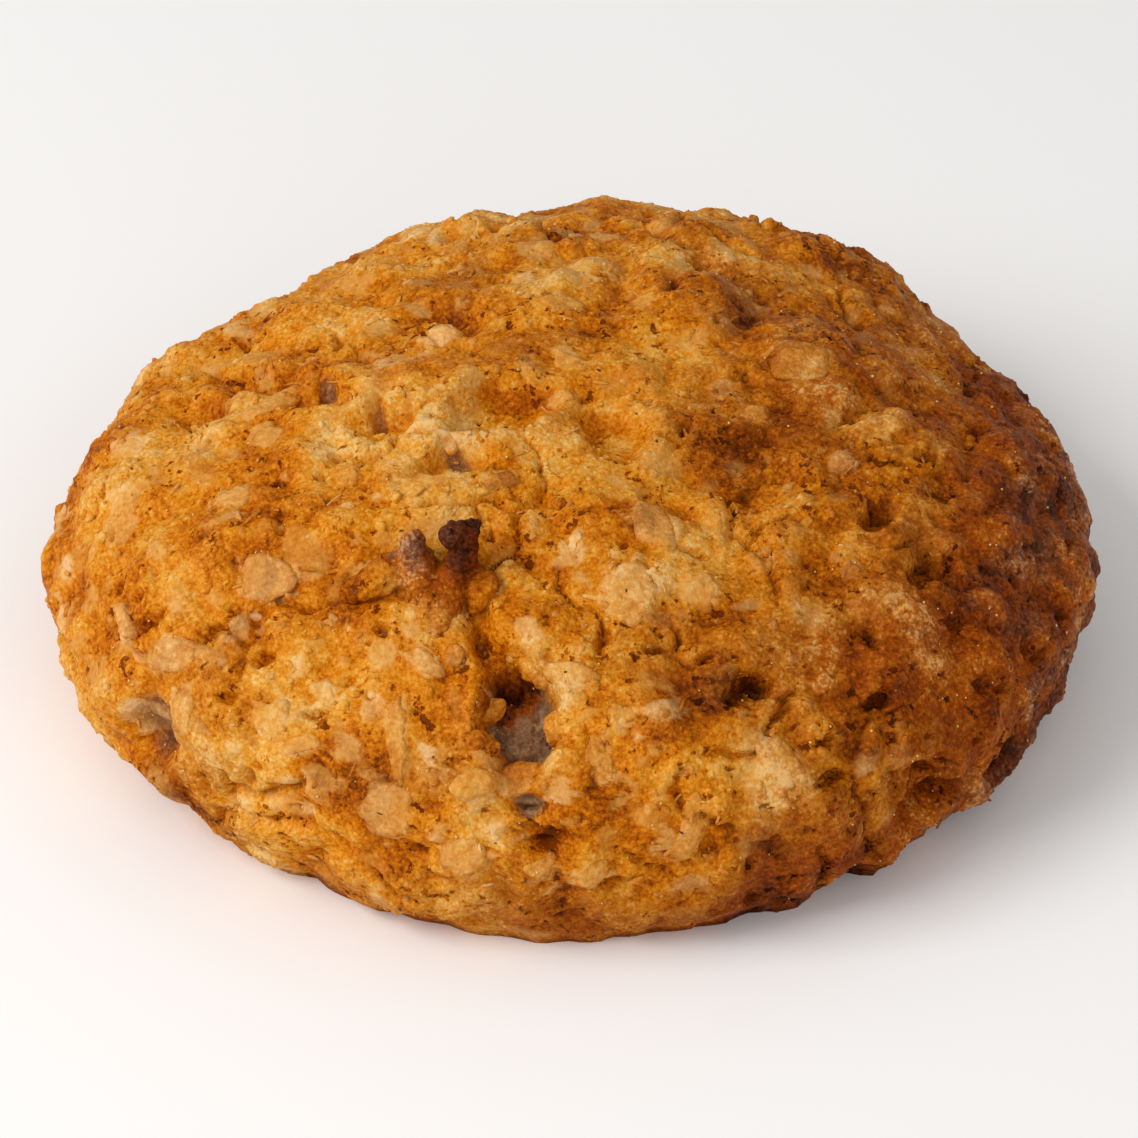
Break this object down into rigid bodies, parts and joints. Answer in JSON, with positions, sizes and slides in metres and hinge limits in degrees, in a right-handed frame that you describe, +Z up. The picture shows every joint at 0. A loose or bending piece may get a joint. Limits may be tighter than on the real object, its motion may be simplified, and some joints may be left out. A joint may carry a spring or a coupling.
{
  "type": "oatmeal honey cookie",
  "caption": "Thick domed oat cookie with a craggy crust, a moist hollow in front, a small toasted clump and oat flakes, on a flat baked base.",
  "frame": {"origin": "middle of the flat base that the cookie rests on", "axes": "+Z up out of the base, -Y towards the side with the big moist hollow, +X to the right of it"},
  "size_m": [0.076, 0.0738, 0.0248],
  "materials": {
    "baked_dough": "matt crumbly golden-brown oat dough with paler oat flakes and a darker toasted clump"
  },
  "bodies": {
    "root": {"cookie": "baked_dough"}
  },
  "joints": []
}
